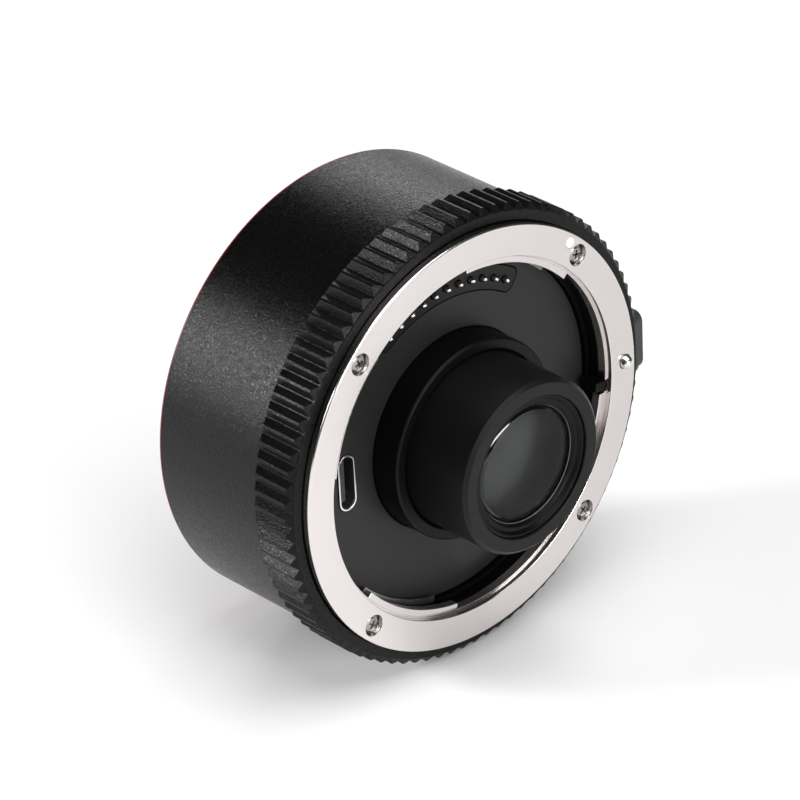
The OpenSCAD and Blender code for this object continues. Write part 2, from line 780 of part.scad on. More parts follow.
module front_spacer() {
    color("#0d0d0d") bench()
        ring(nose_glass_r - spacer_wall, nose_glass_r, glass_2_z, glass_1_z - glass_1_t);
}

module lens_element_2() {
    color("#8fa39b", 0.6) bench()
        glass(nose_glass_r, glass_2_z - glass_2_t, glass_2_z, clear_r, sag_2);
}

module middle_spacer() {
    color("#0d0d0d") bench()
        ring(nose_glass_r - spacer_wall, nose_glass_r, glass_3_z, glass_2_z - glass_2_t);
}

module lens_element_3() {
    color("#8fa39b", 0.6) bench()
        glass(nose_glass_r, glass_3_z - glass_3_t, glass_3_z, clear_r, sag_3);
}

module lens_element_4() {
    color("#8fa39b", 0.6) bench()
        glass(nose_glass_r, glass_4_end, glass_4_z, clear_r, sag_4);
}

module rear_lens_tube() {
    color("#161616") bench() difference() {
        rotate_extrude() polygon([
            [tube_bore_r, tube_back_z], [rear_tube_r, tube_back_z], [rear_tube_r, glass_5_z],
            [tube_flange_r, glass_5_z], [tube_flange_r, frame_back_z], [tube_clear_r, frame_back_z],
            [tube_clear_r, glass_5_z], [tube_bore_r, glass_5_z]]);
        on_circle(optics_hold_r, optics_angles) translate([0, 0, glass_5_z - 1])
            cylinder(r = optics_screw_r + fit_gap, h = tube_flange_t + 2);
    }
}

module lens_element_5() {
    color("#8fa39b", 0.6) bench()
        glass(tube_glass_r, glass_5_z - glass_5_t, glass_5_z, tube_view_r, sag_5);
}

module rear_spacer() {
    color("#0d0d0d") bench() ring(tube_clear_r, tube_glass_r, glass_6_z, glass_5_z - glass_5_t);
}

module lens_element_6() {
    color("#8fa39b", 0.6) bench()
        glass(tube_glass_r, glass_6_z - glass_6_t, glass_6_z, tube_view_r, sag_6);
}

module rear_element() {
    color("#8fa39b", 0.6) bench()
        glass(tube_glass_r, glass_7_back_z, glass_7_z, tube_view_r, sag_7);
}

module rear_retaining_ring() {
    color("#0d0d0d") bench()
        ring(tube_clear_r, tube_bore_r - fit_gap, glass_7_back_z - rear_retainer_t, glass_7_back_z);
}

module button_cap() {
    translate([button_bottom, 0, button_z]) rotate([0, 90, 0]) hull() {
        for (x = [-1, 1], y = [-1, 1])
            translate([x * (button_h / 2 - button_corner), y * (button_w / 2 - button_corner), 0]) {
                cylinder(r = button_corner, h = button_top - button_bottom - button_edge, $fn = 32);
                cylinder(r = button_corner - button_edge, h = button_top - button_bottom, $fn = 32);
            }
    }
}

module release_button() {
    stem_low = button_z - stem_h / 2;
    slant = wedge_z - stem_low;
    color("#1d1e1f") bench() {
        button_cap();
        difference() {
            union() {
                translate([shoulder_x, -stem_half, stem_low])
                    cube([button_bottom - shoulder_x + eps, 2 * stem_half, stem_h]);
                intersection() {
                    translate([shoulder_x, -shoulder_half, stem_low])
                        cube([barrel_in_r, 2 * shoulder_half, stem_h]);
                    cylinder(r = barrel_in_r - drop_gap, h = front_z);
                }
                translate([0, fork_half, 0]) rotate([90, 0, 0]) linear_extrude(2 * fork_half) polygon([
                    [lock_x, stem_low + stem_h], [lock_x, wedge_z], [lock_x + slant, stem_low],
                    [shoulder_x + eps, stem_low], [shoulder_x + eps, stem_low + stem_h]]);
            }
            translate([0, -fork_gap, stem_low - 1]) cube([fork_end, 2 * fork_gap, stem_h + 2]);
        }
    }
}

module button_bezel() {
    color("#161617") bench() difference() {
        button_window(bezel_rim, button_corner, barrel_in_r - 1, bezel_top);
        button_window(drop_gap, button_corner, barrel_in_r - 2, bezel_top + 1);
        cylinder(r = seat_r + fit_gap, h = front_z);
    }
}

module button_springs() {
    color("silver") bench() for (s = [-1, 1])
        translate([pocket_x, s * button_spring_y, button_z]) rotate([0, 90, 0])
            coil_spring(button_coil_r, button_wire, 0, shoulder_x - pocket_x,
                turns = 4, steps = 8, sides = 6);
}

module lock_pin() {
    color("#bdbab6") bench() {
        translate([lock_x, 0, front_z + lock_rise - lock_pin_r]) sphere(lock_pin_r);
        translate([lock_x, 0, pin_tail_z])
            cylinder(r = lock_pin_r, h = front_z + lock_rise - lock_pin_r - pin_tail_z);
        translate([0, fork_half, 0]) rotate([90, 0, 0]) linear_extrude(2 * fork_half) polygon([
            [lock_x - bar_half_x, bar_back_z], [lock_x + bar_half_x, bar_back_z],
            [lock_x + bar_half_x, wedge_z - bar_half_x - wedge_gap],
            [lock_x - bar_half_x, wedge_z + bar_half_x - wedge_gap]]);
    }
}

module lock_pin_spring() {
    color("silver") bench() translate([lock_x, 0, 0])
        coil_spring(lock_coil_r, lock_wire, bulkhead_z, bar_back_z, turns = 6, steps = 8, sides = 6);
}

module rear_frame() {
    color("#151515") bench() difference() {
        ring(tube_hole_r, frame_r, rear_seat_z, rear_frame_z);
        on_circle(rear_screw_r, screw_angles)
            translate([0, 0, rear_seat_z - 1]) cylinder(r = screw_shank_r + fit_gap, h = rear_frame_t + 2);
        translate([-flex_w / 2 - flex_slot, contact_r - flex_slot, rear_seat_z - 1])
            cube([flex_w + 2 * flex_slot, 2 * flex_slot, rear_frame_t + 2]);
    }
}

module chassis_posts() {
    color("#b08d4a") bench() on_circle(post_circle_r, post_angles)
        translate([0, 0, rear_frame_z]) cylinder(r = post_r, h = frame_back_z - rear_frame_z);
}

module barrel_screws() {
    color("silver") bench() for (a = barrel_screw_angles) rotate([0, 0, a])
        translate([seat_r - barrel_screw_len + barrel_screw_sink, 0, barrel_screw_z]) rotate([0, 90, 0])
            difference() {
                cylinder(r = barrel_screw_r, h = barrel_screw_len - 2 * barrel_screw_sink);
                translate([0, 0, barrel_screw_len - 2 * barrel_screw_sink])
                    cube([screw_slot_w, 2 * barrel_screw_r + 1, 2 * screw_slot_t], center = true);
            }
}

module rear_mount_ring() {
    color("#d9d6d4") bench() difference() {
        union() {
            rotate_extrude() polygon([
                [spigot_in_r, rear_seat_z], [spigot_in_r, -spigot_len],
                [spigot_r - spigot_edge, -spigot_len], [spigot_r, spigot_edge - spigot_len],
                [spigot_r, 0], [rear_flange_r - ring_chamfer, 0], [rear_flange_r, ring_chamfer],
                [rear_flange_r, rear_seat_z]]);
            for (i = [0 : len(tab_starts) - 1])
                arc_ring(spigot_r - spigot_wall / 2, male_tab_r, male_tab_z - male_tab_t, male_tab_z,
                    tab_starts[i] + male_tab_margin, tab_widths[i] - 2 * male_tab_margin);
        }
        on_circle(rear_screw_r, screw_angles) {
            translate([0, 0, -1]) cylinder(r = screw_hole_r, h = 1 + screw_sink + screw_head_t);
            cylinder(r = screw_shank_r + slide_gap, h = rear_seat_z + 1);
        }
        translate([lock_x, 0, -1]) cylinder(r = recess_r, h = 1 + recess_depth);
        on_circle(rear_screw_r, [rear_index_angle])
            translate([0, 0, -1]) cylinder(r = dot_r + fit_gap, h = 1 + dot_t);
    }
}

module rear_mount_screws() {
    color("#b9b6b2") bench() on_circle(rear_screw_r, screw_angles) translate([0, 0, screw_sink])
        rotate([180, 0, 0]) cross_screw(screw_head_r, screw_head_t, screw_shank_r, rear_screw_len);
}

module rear_contact_block() {
    color("#1a1a1b") bench()
        arc_ring(contact_r - block_w / 2, spigot_in_r - drop_gap, rear_block_z, rear_seat_z,
            contact_mid - block_half, 2 * block_half);
}

module rear_contact_pads() {
    color("#d8b25c") bench() on_circle(contact_r, contact_angles)
        translate([-pad_len / 2, -pad_w / 2, rear_block_z - pad_t]) cube([pad_len, pad_w, pad_t]);
}

module rear_cover() {
    outer = spigot_in_r - drop_gap;
    color("#141414") bench() difference() {
        rotate_extrude() polygon([
            [tube_hole_r, cover_z - cover_t], [outer, cover_z - cover_t], [outer, rear_seat_z],
            [outer - cover_skirt, rear_seat_z], [outer - cover_skirt, cover_z], [tube_hole_r, cover_z]]);
        arc_ring(contact_r - block_w / 2 - drop_gap, outer + 1, cover_z - cover_t - 1, rear_seat_z + 1,
            contact_mid - block_half - cover_notch_gap, 2 * (block_half + cover_notch_gap));
    }
}

barrel_shell();
grip_sleeve();
accent_ring();
lens_mount_ring();
lens_mount_screws();
index_dots();
bayonet_springs();
rotation_stop();
front_frame();
baffle_plate();
contact_block();
for (i = [1 : contact_count])
    contact_pin(i);
contact_sleeves();
contact_springs();
usb_shell();
usb_tongue();
main_board();
main_chip();
board_screws();
flex_cable();
optics_base();
optics_screws();
nose_barrel();
front_retaining_ring();
front_element();
front_spacer();
lens_element_2();
middle_spacer();
lens_element_3();
lens_element_4();
rear_lens_tube();
lens_element_5();
rear_spacer();
lens_element_6();
rear_element();
rear_retaining_ring();
release_button();
button_bezel();
button_springs();
lock_pin();
lock_pin_spring();
rear_frame();
chassis_posts();
barrel_screws();
rear_mount_ring();
rear_mount_screws();
rear_contact_block();
rear_contact_pads();
rear_cover();
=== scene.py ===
# Teleconverter on a pale studio floor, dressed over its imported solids.
# Sizes in the dictionaries are millimetres. Heights run along the optical axis from the camera mount's face
# towards the lens side, angles run round it as seen from the lens side.
from math import cos, pi, radians, sin

import bmesh
import bpy
from mathutils import Matrix, Vector


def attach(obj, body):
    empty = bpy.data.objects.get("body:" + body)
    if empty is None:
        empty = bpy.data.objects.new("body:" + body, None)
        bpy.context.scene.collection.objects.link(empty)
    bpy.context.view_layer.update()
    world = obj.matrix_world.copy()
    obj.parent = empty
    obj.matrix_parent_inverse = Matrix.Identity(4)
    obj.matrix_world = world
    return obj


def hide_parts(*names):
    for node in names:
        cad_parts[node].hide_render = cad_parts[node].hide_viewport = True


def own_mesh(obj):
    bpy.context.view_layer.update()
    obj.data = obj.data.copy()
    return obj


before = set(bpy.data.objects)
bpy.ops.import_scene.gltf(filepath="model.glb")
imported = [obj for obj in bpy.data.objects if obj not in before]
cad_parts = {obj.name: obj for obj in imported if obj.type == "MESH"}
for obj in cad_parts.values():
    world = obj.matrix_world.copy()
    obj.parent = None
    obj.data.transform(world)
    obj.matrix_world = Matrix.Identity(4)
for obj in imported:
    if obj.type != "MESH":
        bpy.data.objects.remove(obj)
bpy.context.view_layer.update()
mm = 0.001
past = 1.0                                                # how far a cutter runs past a face
opticalAxis = (0, 1, 0)
mainBody = "converter_body"
print("frame loaded,", len(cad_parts), "nodes")


# helpers: heights along the axis become -Y

def spot(radius, angle, height):
    return Vector((radius * cos(radians(angle)), -height, radius * sin(radians(angle)))) * mm


def sharpEdges(bm, angle=28):
    return [e for e in bm.edges if len(e.link_faces) == 2 and e.calc_face_angle(0) > radians(angle)]


def soften(bm, width, segments=2, edges=None, clamp=True):
    bmesh.ops.bevel(bm, geom=sharpEdges(bm) if edges is None else edges, offset=width * mm,
                    offset_type="OFFSET", affect="EDGES", segments=segments, profile=0.5, material=-1,
                    clamp_overlap=clamp)


def cleanUp(bm):
    bmesh.ops.remove_doubles(bm, verts=bm.verts, dist=0.002 * mm)
    bmesh.ops.recalc_face_normals(bm, faces=bm.faces)


def lathe(profile, steps=192, closed=True):
    bm = bmesh.new()
    points = [bm.verts.new(spot(r, 0, z)) for r, z in profile]
    count = len(points) if closed else len(points) - 1
    lines = [bm.edges.new((points[i], points[(i + 1) % len(points)])) for i in range(count)]
    bmesh.ops.spin(bm, geom=points + lines, axis=opticalAxis, cent=(0, 0, 0), angle=2 * pi, steps=steps,
                   use_merge=True)
    cleanUp(bm)
    return bm


def arcBlock(rIn, rOut, low, high, start, sweep, steps=24):
    bm = bmesh.new()
    outline = ((rIn, low), (rOut, low), (rOut, high), (rIn, high))
    corners = [bm.verts.new(spot(r, start, z)) for r, z in outline]
    bm.faces.new(corners)
    bmesh.ops.spin(bm, geom=bm.verts[:] + bm.edges[:] + bm.faces[:], axis=opticalAxis, cent=(0, 0, 0),
                   angle=-radians(sweep), steps=steps)
    cleanUp(bm)
    return bm


def roundArc(rIn, rOut, low, high, start, sweep, corner):
    bm = arcBlock(rIn, rOut, low, high, start, sweep, 20)
    tall = 0.9 * (high - low) * mm
    upright = [e for e in sharpEdges(bm) if abs(e.verts[0].co.y - e.verts[1].co.y) > tall]
    soften(bm, corner, 6, upright, clamp=False)
    return bm


def rod(radius, low, high, at=(0, 0), segments=48):
    bm = bmesh.new()
    bmesh.ops.create_cone(bm, cap_ends=True, segments=segments, radius1=radius * mm, radius2=radius * mm,
                          depth=(high - low) * mm)
    bmesh.ops.rotate(bm, verts=bm.verts, cent=(0, 0, 0), matrix=Matrix.Rotation(pi / 2, 3, "X"))
    bmesh.ops.translate(bm, verts=bm.verts, vec=spot(at[0], at[1], (low + high) / 2))
    return bm


def slab(size, centre):
    bm = bmesh.new()
    bmesh.ops.create_cube(bm, size=1)
    bmesh.ops.scale(bm, verts=bm.verts, vec=Vector(size) * mm)
    bmesh.ops.translate(bm, verts=bm.verts, vec=Vector(centre) * mm)
    return bm


def gather(shapes):
    whole = bmesh.new()
    for bm in shapes:
        mesh = bpy.data.meshes.new("shape")
        bm.to_mesh(mesh)
        bm.free()
        whole.from_mesh(mesh)
        bpy.data.meshes.remove(mesh)
    return whole


def asPiece(name, bm):
    mesh = bpy.data.meshes.new(name)
    bm.to_mesh(mesh)
    bm.free()
    piece = bpy.data.objects.new(name, mesh)
    bpy.context.scene.collection.objects.link(piece)
    return piece


def combine(piece, bm, operation):
    other = asPiece("cutter", bm)
    step = piece.modifiers.new("combine", "BOOLEAN")
    step.operation = operation
    step.solver = "EXACT"
    step.object = other
    graph = bpy.context.evaluated_depsgraph_get()
    mesh = bpy.data.meshes.new_from_object(piece.evaluated_get(graph))
    piece.modifiers.clear()
    piece.data = mesh
    bpy.data.objects.remove(other)


def edgeRound(piece, width, segments=2, angle=50):
    bm = bmesh.new()
    bm.from_mesh(piece.data)
    cleanUp(bm)
    bmesh.ops.dissolve_limit(bm, angle_limit=radians(0.4), verts=bm.verts, edges=bm.edges)
    soften(bm, width, segments, sharpEdges(bm, angle), clamp=False)
    bm.to_mesh(piece.data)
    bm.free()


def ringEdges(bm, radius, height):
    def near(v):
        away = Vector((v.co.x, v.co.z)).length / mm - radius
        return abs(v.co.y / mm + height) < 0.01 and abs(away) < 0.01
    return [e for e in bm.edges if near(e.verts[0]) and near(e.verts[1])]


def copies(bm, places):
    mesh = bpy.data.meshes.new("pattern")
    bm.to_mesh(mesh)
    bm.free()
    shapes = []
    for place in places:
        shape = bmesh.new()
        shape.from_mesh(mesh)
        bmesh.ops.transform(shape, verts=shape.verts, matrix=place)
        shapes.append(shape)
    bpy.data.meshes.remove(mesh)
    return gather(shapes)


def roundSlab(size, centre, corner, along=0):
    bm = slab(size, centre)
    upright = [e for e in bm.edges if abs((e.verts[0].co - e.verts[1].co)[along]) > 0.9 * size[along] * mm]
    soften(bm, corner, 8, upright)
    return bm


def cadCopy(name, node, width, segments=2):
    bm = bmesh.new()
    bm.from_mesh(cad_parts[node].data)
    bmesh.ops.remove_doubles(bm, verts=bm.verts, dist=0.001 * mm)
    bmesh.ops.dissolve_limit(bm, angle_limit=radians(0.4), verts=bm.verts, edges=bm.edges)
    if width:
        soften(bm, width, segments)
    return asPiece(name, bm)


def settle(piece, finish, slot, *nodes, body=mainBody, sharp=40):
    for face in piece.data.polygons:
        face.use_smooth = True
    piece.data.set_sharp_from_angle(angle=radians(sharp))
    flat = piece.modifiers.new("flatFaces", "WEIGHTED_NORMAL")
    flat.weight = 80
    flat.keep_sharp = True
    piece.data.materials.clear()
    piece.data.materials.append(finish)
    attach(piece, body)
    if nodes:
        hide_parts(*nodes)
    return piece


# finishes

def noiseNode(tree, place, size, detail=2.0):
    noise = tree.nodes.new("ShaderNodeTexNoise")
    noise.inputs["Scale"].default_value = 1 / (size * mm)
    noise.inputs["Detail"].default_value = detail
    tree.links.new(place.outputs["Object"], noise.inputs["Vector"])
    return noise


def spreadNode(tree, source, low, high):
    spread = tree.nodes.new("ShaderNodeMapRange")
    spread.inputs["From Min"].default_value = 0.3
    spread.inputs["From Max"].default_value = 0.7
    spread.inputs["To Min"].default_value = low
    spread.inputs["To Max"].default_value = high
    tree.links.new(source, spread.inputs["Value"])
    return spread.outputs["Result"]


def bumpNode(tree, height, depth, under=None):
    bump = tree.nodes.new("ShaderNodeBump")
    bump.inputs["Strength"].default_value = 1.0
    bump.inputs["Distance"].default_value = depth * mm
    tree.links.new(height, bump.inputs["Height"])
    if under:
        tree.links.new(under, bump.inputs["Normal"])
    return bump.outputs["Normal"]


def linesNode(tree, place, kind, spacing):
    wave = tree.nodes.new("ShaderNodeTexWave")
    wave.wave_type = kind
    if kind == "RINGS":
        wave.rings_direction = "Y"
    else:
        wave.bands_direction = "Y"
    wave.inputs["Scale"].default_value = 0.314 / (spacing * mm)      # a wave at scale 1 is 0.314 long
    wave.inputs["Distortion"].default_value = 1.5
    wave.inputs["Detail"].default_value = 2
    tree.links.new(place.outputs["Object"], wave.inputs["Vector"])
    return wave.outputs["Fac"]


def pebbleNode(tree, place, size):
    cells = tree.nodes.new("ShaderNodeTexVoronoi")
    cells.feature = "SMOOTH_F1"
    cells.inputs["Scale"].default_value = 1 / (size * mm)
    cells.inputs["Smoothness"].default_value = 0.3
    tree.links.new(place.outputs["Object"], cells.inputs["Vector"])
    return cells.outputs["Distance"]


def makeFinish(name, colour, rough, metal=0.0, tint=0.2, patch=6.0, grain=0.2, depth=0.0, spread=0.08,
               lines=None, pebble=None, specular=0.5):
    finish = bpy.data.materials.new(name)
    finish.use_nodes = True
    tree = finish.node_tree
    shader = tree.nodes["Principled BSDF"]
    shader.inputs["Metallic"].default_value = metal
    shader.inputs["Specular IOR Level"].default_value = specular
    place = tree.nodes.new("ShaderNodeTexCoord")
    broad = noiseNode(tree, place, patch)
    fine = noiseNode(tree, place, grain, 3.0)
    shade = tree.nodes.new("ShaderNodeValToRGB")          # slow drift of the colour over the piece
    for stop, gain in zip(shade.color_ramp.elements, (1 - tint, 1 + tint)):
        stop.color = (*(min(1.0, c * gain) for c in colour), 1)
    tree.links.new(broad.outputs["Fac"], shade.inputs["Fac"])
    tree.links.new(shade.outputs["Color"], shader.inputs["Base Color"])
    tree.links.new(spreadNode(tree, fine.outputs["Fac"], max(0.02, rough - spread), rough + spread),
                   shader.inputs["Roughness"])
    normal = None
    if lines:
        normal = bumpNode(tree, linesNode(tree, place, lines[0], lines[1]), lines[2])
    if pebble:
        normal = bumpNode(tree, pebbleNode(tree, place, pebble[0]), -pebble[1], normal)
    if depth:
        normal = bumpNode(tree, fine.outputs["Fac"], depth, normal)
    if normal:
        tree.links.new(normal, shader.inputs["Normal"])
    return finish


barrelPaint = makeFinish("barrelPaint", (0.002, 0.002, 0.0022), 0.28, tint=0.25, grain=0.35, depth=0.025,
                         spread=0.08, pebble=(0.22, 0.041), specular=0.17)
gripRubber = makeFinish("gripRubber", (0.0035, 0.0035, 0.0037), 0.34, tint=0.3, grain=0.4, depth=0.03,
                        spread=0.1, pebble=(0.27, 0.036), specular=0.13)
accentPaint = makeFinish("accentPaint", (0.16, 0.008, 0.01), 0.35, grain=0.2, depth=0.004)
mountMetal = makeFinish("mountMetal", (0.74, 0.695, 0.685), 0.17, metal=1.0, tint=0.03, grain=0.3,
                        spread=0.05, lines=("RINGS", 0.11, 0.0006))
screwSteel = makeFinish("screwSteel", (0.33, 0.318, 0.306), 0.27, metal=1.0, tint=0.12, patch=1.0, grain=0.12,
                        depth=0.002)
springSteel = makeFinish("springSteel", (0.32, 0.32, 0.33), 0.32, metal=1.0, grain=0.1, depth=0.002)
blackMetal = makeFinish("blackMetal", (0.002, 0.002, 0.0022), 0.4, tint=0.2, grain=0.12, depth=0.006,
                        lines=("BANDS", 0.14, 0.002), specular=0.13)
noseSatin = makeFinish("noseSatin", (0.003, 0.003, 0.0031), 0.45, tint=0.2, grain=0.1, depth=0.005,
                       specular=0.22)
plateMatt = makeFinish("plateMatt", (0.01, 0.01, 0.01), 0.45, tint=0.12, grain=0.09, depth=0.008, spread=0.06,
                       specular=0.3)
blackPlastic = makeFinish("blackPlastic", (0.004, 0.004, 0.0042), 0.46, tint=0.2, grain=0.1, depth=0.008,
                          specular=0.24)
contactGold = makeFinish("contactGold", (0.86, 0.81, 0.72), 0.2, metal=1.0, tint=0.1, patch=0.5, grain=0.06,
                         depth=0.001)
socketSteel = makeFinish("socketSteel", (0.78, 0.77, 0.75), 0.2, metal=1.0, tint=0.06, grain=0.1, depth=0.001)
whiteEnamel = makeFinish("whiteEnamel", (0.86, 0.86, 0.84), 0.3, tint=0.03, grain=0.1, depth=0.002)
tongueGrey = makeFinish("tongueGrey", (0.02, 0.021, 0.022), 0.45, tint=0.1, patch=2.0, grain=0.1, depth=0.004)
buttonGrey = makeFinish("buttonGrey", (0.02, 0.021, 0.022), 0.45, tint=0.15, grain=0.12, depth=0.012)
boardGreen = makeFinish("boardGreen", (0.012, 0.11, 0.045), 0.4, tint=0.3, patch=2.0, grain=0.2, depth=0.004)
flexAmber = makeFinish("flexAmber", (0.42, 0.17, 0.03), 0.35, tint=0.2, patch=2.0, grain=0.3, depth=0.002)


def makeGlass(name, bend, rough):
    finish = bpy.data.materials.new(name)
    finish.use_nodes = True
    tree = finish.node_tree
    shader = tree.nodes["Principled BSDF"]
    shader.inputs["Transmission Weight"].default_value = 1.0
    shader.inputs["Roughness"].default_value = rough
    shader.inputs["IOR"].default_value = bend
    place = tree.nodes.new("ShaderNodeTexCoord")
    dust = noiseNode(tree, place, 3.0)
    veil = tree.nodes.new("ShaderNodeValToRGB")           # faint dust in the clear body
    for stop, clear in zip(veil.color_ramp.elements, (0.95, 0.99)):
        stop.color = (clear * 0.99, clear, clear * 0.995, 1)
    tree.links.new(dust.outputs["Fac"], veil.inputs["Fac"])
    tree.links.new(veil.outputs["Color"], shader.inputs["Base Color"])
    return finish


coatedGlass = makeGlass("coatedGlass", 1.25, 0.276)       # low bend, as a coated face reflects little
clearGlass = makeGlass("clearGlass", 1.0, 0.0)
# inner lens elements drawn opaque, near-black and glossy: painted shade in place of the dark view through the
# clear glass, with a faint green tint
innerLensPaintedShade = makeFinish("innerLensPaintedShade", (0.002, 0.004, 0.0035), 0.29, tint=0.1, grain=1.0, spread=0.01,
                        specular=0.8)
edgeGlass = makeFinish("edgeGlass", (0.002, 0.003, 0.003), 0.07, tint=0.1, grain=1.0, spread=0.02,
                       specular=0.45)
# lighter grey for the lip at the glass edge: a painted highlight
lipPaintedHighlight = makeFinish("lipPaintedHighlight", (0.13, 0.13, 0.128), 0.5, tint=0.15, patch=1.0, grain=0.1, depth=0.002)
retainerBlack = makeFinish("retainerBlack", (0.0022, 0.0022, 0.0023), 0.36, tint=0.2, grain=0.1, depth=0.004,
                           specular=0.12)
print("finishes ready")

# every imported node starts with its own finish
nodeFinish = {
    barrelPaint: ["barrel_shell"],
    gripRubber: ["grip_sleeve"],
    accentPaint: ["accent_ring"],
    mountMetal: ["lens_mount_ring", "rear_mount_ring"],
    screwSteel: ["lens_mount_screws", "rear_mount_screws", "board_screws", "optics_screws", "barrel_screws"],
    springSteel: ["bayonet_springs", "contact_springs", "button_springs", "lock_pin_spring"],
    blackMetal: ["front_frame", "rear_frame", "optics_base", "front_retaining_ring", "rear_lens_tube",
                 "rear_retaining_ring", "front_spacer", "middle_spacer", "rear_spacer"],
    noseSatin: ["nose_barrel"],
    plateMatt: ["baffle_plate"],
    blackPlastic: ["rotation_stop", "contact_block", "usb_tongue", "main_chip", "release_button",
                   "button_bezel", "rear_contact_block", "rear_cover"],
    contactGold: ["contact_sleeves", "rear_contact_pads", "chassis_posts"]
                 + ["contact_pin_%d" % i for i in range(1, 12)],
    socketSteel: ["usb_shell", "lock_pin"],
    whiteEnamel: ["index_dots"],
    boardGreen: ["main_board"],
    flexAmber: ["flex_cable"],
    coatedGlass: ["front_element", "rear_element"],
    # inner elements: opaque dark finish, painted shade of the optics' interior
    innerLensPaintedShade: ["lens_element_%d" % i for i in range(2, 7)],
}
for finish, names in nodeFinish.items():
    for name in names:
        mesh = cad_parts[name].data
        mesh.materials.clear()
        mesh.materials.append(finish)
print("nodes painted")

# barrel: rear lip, plain outer wall and the seat under the grip
barrelSet = dict(lip=32.05, outer=33.9, seat=33.4, inner=32.5, back=1.25, lipTop=2.5, step=21.2, front=28.2,
                 edge=0.12, stemHole=(4.0, 4.2, 6.8), stemAt=(33.5, -25.5, 0.0), screwAngles=(90, 210, 330),
                 screwHole=0.95)
b = barrelSet
shape = lathe([(b["lip"], b["back"]), (b["outer"], b["back"]), (b["outer"], b["step"]),
               (b["seat"], b["step"]), (b["seat"], b["front"]), (b["inner"], b["front"]),
               (b["inner"], b["lipTop"]), (b["lip"], b["lipTop"])], 256)
soften(shape, b["edge"], 3)
barrel = asPiece("barrelShell", shape)
combine(barrel, slab(b["stemHole"], b["stemAt"]), "DIFFERENCE")
for angle in b["screwAngles"]:
    hole = rod(b["screwHole"], -2 * past, 2 * past)
    bmesh.ops.rotate(hole, verts=hole.verts, cent=(0, 0, 0), matrix=Matrix.Rotation(pi / 2, 3, "Z"))
    bmesh.ops.translate(hole, verts=hole.verts, vec=Vector((b["seat"], b["stemAt"][1], 0)) * mm)
    bmesh.ops.rotate(hole, verts=hole.verts, cent=(0, 0, 0), matrix=Matrix.Rotation(-radians(angle), 3, "Y"))
    combine(barrel, hole, "DIFFERENCE")
settle(barrel, barrelPaint, "barrel_paint", "barrel_shell")

accentSet = dict(inner=32.05, outer=33.9, low=1.0, high=1.25, edge=0.08)
shape = lathe([(accentSet["inner"], accentSet["low"]), (accentSet["outer"], accentSet["low"]),
               (accentSet["outer"], accentSet["high"]), (accentSet["inner"], accentSet["high"])], 256)
soften(shape, accentSet["edge"], 3, ringEdges(shape, accentSet["outer"], accentSet["low"]))
settle(asPiece("accentRing", shape), accentPaint, "accent_paint", "accent_ring")
print("barrel made")

# grip: roof-shaped ribs with sloped ends on a plain sleeve
gripSet = dict(inner=32.5, seat=33.45, floor=33.95, back=21.2, seatTop=28.2, foot=28.85, front=29.0,
               edge=0.08, ribs=90, crest=34.9, crestHalf=0.22, crestFrom=21.95, crestTo=28.3,
               crestRound=0.05, root=33.9, rootHalf=1.12, rootFrom=21.21, window=(6.0, 6.0, 10.6),
               windowCorner=2.2, windowAt=(34.5, -25.5, 0.0))
g = gripSet
shape = lathe([(g["seat"], g["back"]), (g["floor"], g["back"]), (g["floor"], g["front"]),
               (g["inner"], g["front"]), (g["inner"], g["seatTop"]), (g["seat"], g["seatTop"])], 360)
soften(shape, g["edge"], 2, ringEdges(shape, g["floor"], g["front"]))
grip = asPiece("gripSleeve", shape)
rib = slab((1, 1, 1), (0, 0, 0))
for v in rib.verts:
    atCrest = v.co.x > 0
    atFront = v.co.y < 0
    half = g["crestHalf"] if atCrest else g["rootHalf"]
    if atCrest:
        reach = g["crestTo"] if atFront else g["crestFrom"]
    else:
        reach = g["foot"] if atFront else g["rootFrom"]
    v.co = Vector((g["crest"] if atCrest else g["root"], -reach, half if v.co.z > 0 else -half)) * mm
nearCrest = (g["crest"] - 0.1) * mm
soften(rib, g["crestRound"], 2, [e for e in rib.edges if any(v.co.x > nearCrest for v in e.verts)])
ribTurns = [Matrix.Rotation(2 * pi * (i + 0.5) / g["ribs"], 4, "Y") for i in range(g["ribs"])]
combine(grip, copies(rib, ribTurns), "UNION")
combine(grip, roundSlab(g["window"], g["windowAt"], g["windowCorner"]), "DIFFERENCE")
settle(grip, gripRubber, "grip_rubber", "grip_sleeve")
print("grip made")

# lens side bayonet: ring, four tabs, screw seats, pin hole and mark recess
mountSet = dict(throat=27.5, outer=32.3, back=27.9, face=30.3, ledge=27.15, ledgeTop=29.3, tab=26.2,
                tabRoot=27.3, starts=(42.5, 130, 219, 309), sweeps=(46.6, 40, 42.3, 42), tabEdge=0.1,
                tabSink=0.01, rim=0.28, throatRim=0.14, edge=0.05, screwCircle=30.0,
                screwAngles=(45, 135, 225, 315), headHole=1.65, headFloor=29.0, shankHole=0.9, overlap=0.5,
                pinAt=30.3, pinHole=1.15, dotCircle=30.95, dotAngle=50.2, dotHole=0.85, dotFloor=30.1,
                notchTop=29.35, notchOuter=27.55, notchStart=351.7, notchSweep=3.8)
m = mountSet
shape = lathe([(m["ledge"], m["back"]), (m["outer"], m["back"]), (m["outer"], m["face"]),
               (m["throat"], m["face"]), (m["throat"], m["ledgeTop"]), (m["ledge"], m["ledgeTop"])], 240)
soften(shape, m["rim"], 4, ringEdges(shape, m["outer"], m["face"]))
soften(shape, m["throatRim"], 3, ringEdges(shape, m["throat"], m["face"]))
mountRing = asPiece("lensMountRing", shape)
for start, sweep in zip(m["starts"], m["sweeps"]):
    tab = arcBlock(m["tab"], m["tabRoot"], m["back"] + m["tabSink"], m["ledgeTop"] - m["tabSink"], start,
                   sweep, 32)
    soften(tab, m["tabEdge"], 3)
    combine(mountRing, tab, "UNION")
